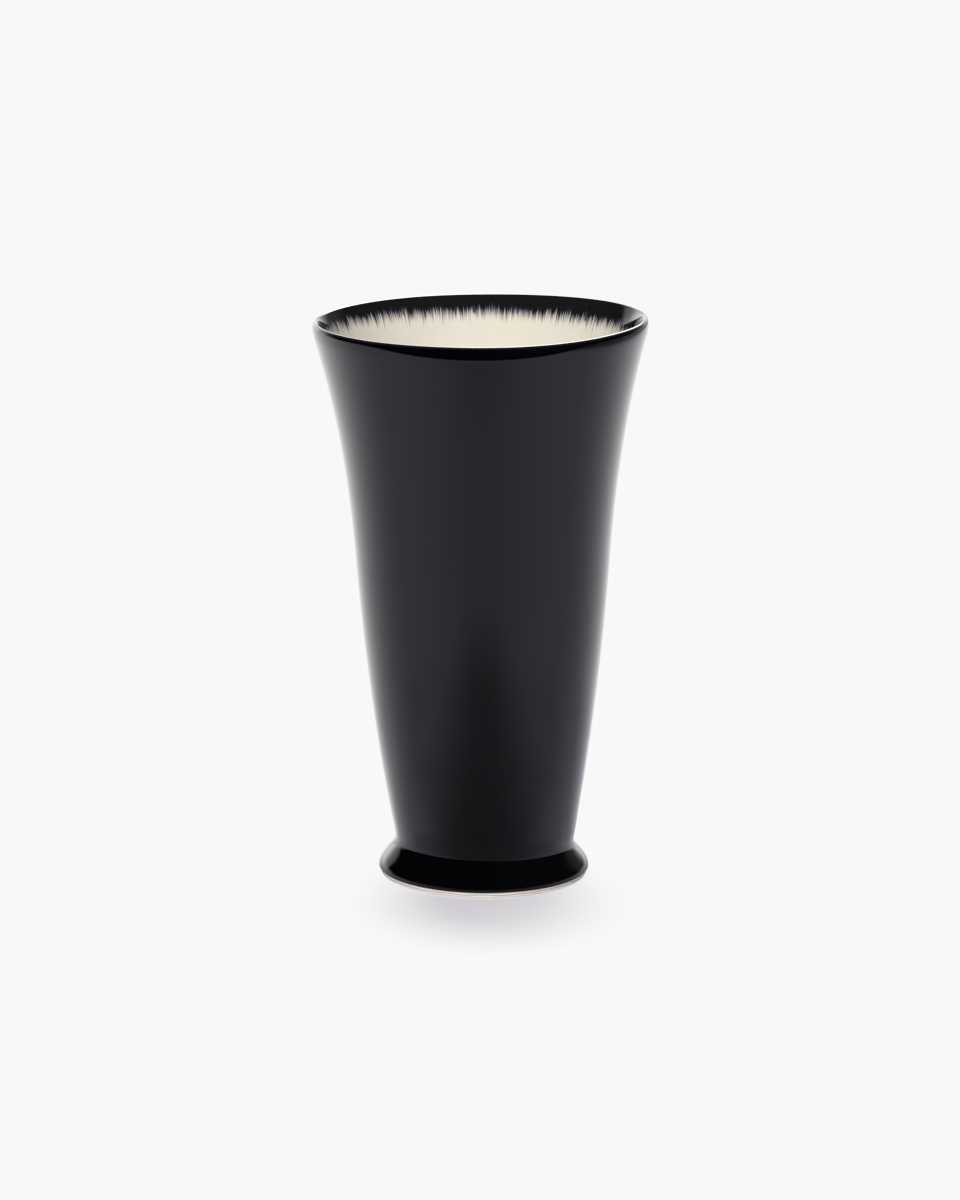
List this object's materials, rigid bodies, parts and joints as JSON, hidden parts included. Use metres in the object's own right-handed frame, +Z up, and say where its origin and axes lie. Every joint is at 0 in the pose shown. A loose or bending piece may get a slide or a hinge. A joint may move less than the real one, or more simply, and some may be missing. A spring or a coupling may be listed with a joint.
{
  "type": "porcelain beaker",
  "caption": "Tall porcelain beaker without a handle: flared wall on a small foot, black glaze outside, cream inside, brushed black band over the lip.",
  "frame": {"origin": "centre of the standing ring, on the surface that the beaker stands on", "axes": "+Z up along the axis that the beaker is turned about; +X and +Y are any two square directions across it"},
  "size_m": [0.088, 0.088, 0.149],
  "materials": {
    "porcelain": "unglazed porcelain, fine matt grain",
    "black_glaze": "glossy black glaze",
    "cream_glaze": "glossy cream glaze"
  },
  "bodies": {
    "root": {"bowl": "porcelain", "foot": "porcelain", "outer_glaze": "black_glaze", "recess_glaze": "black_glaze", "rim_band": "black_glaze", "inner_glaze": "cream_glaze"}
  },
  "joints": []
}
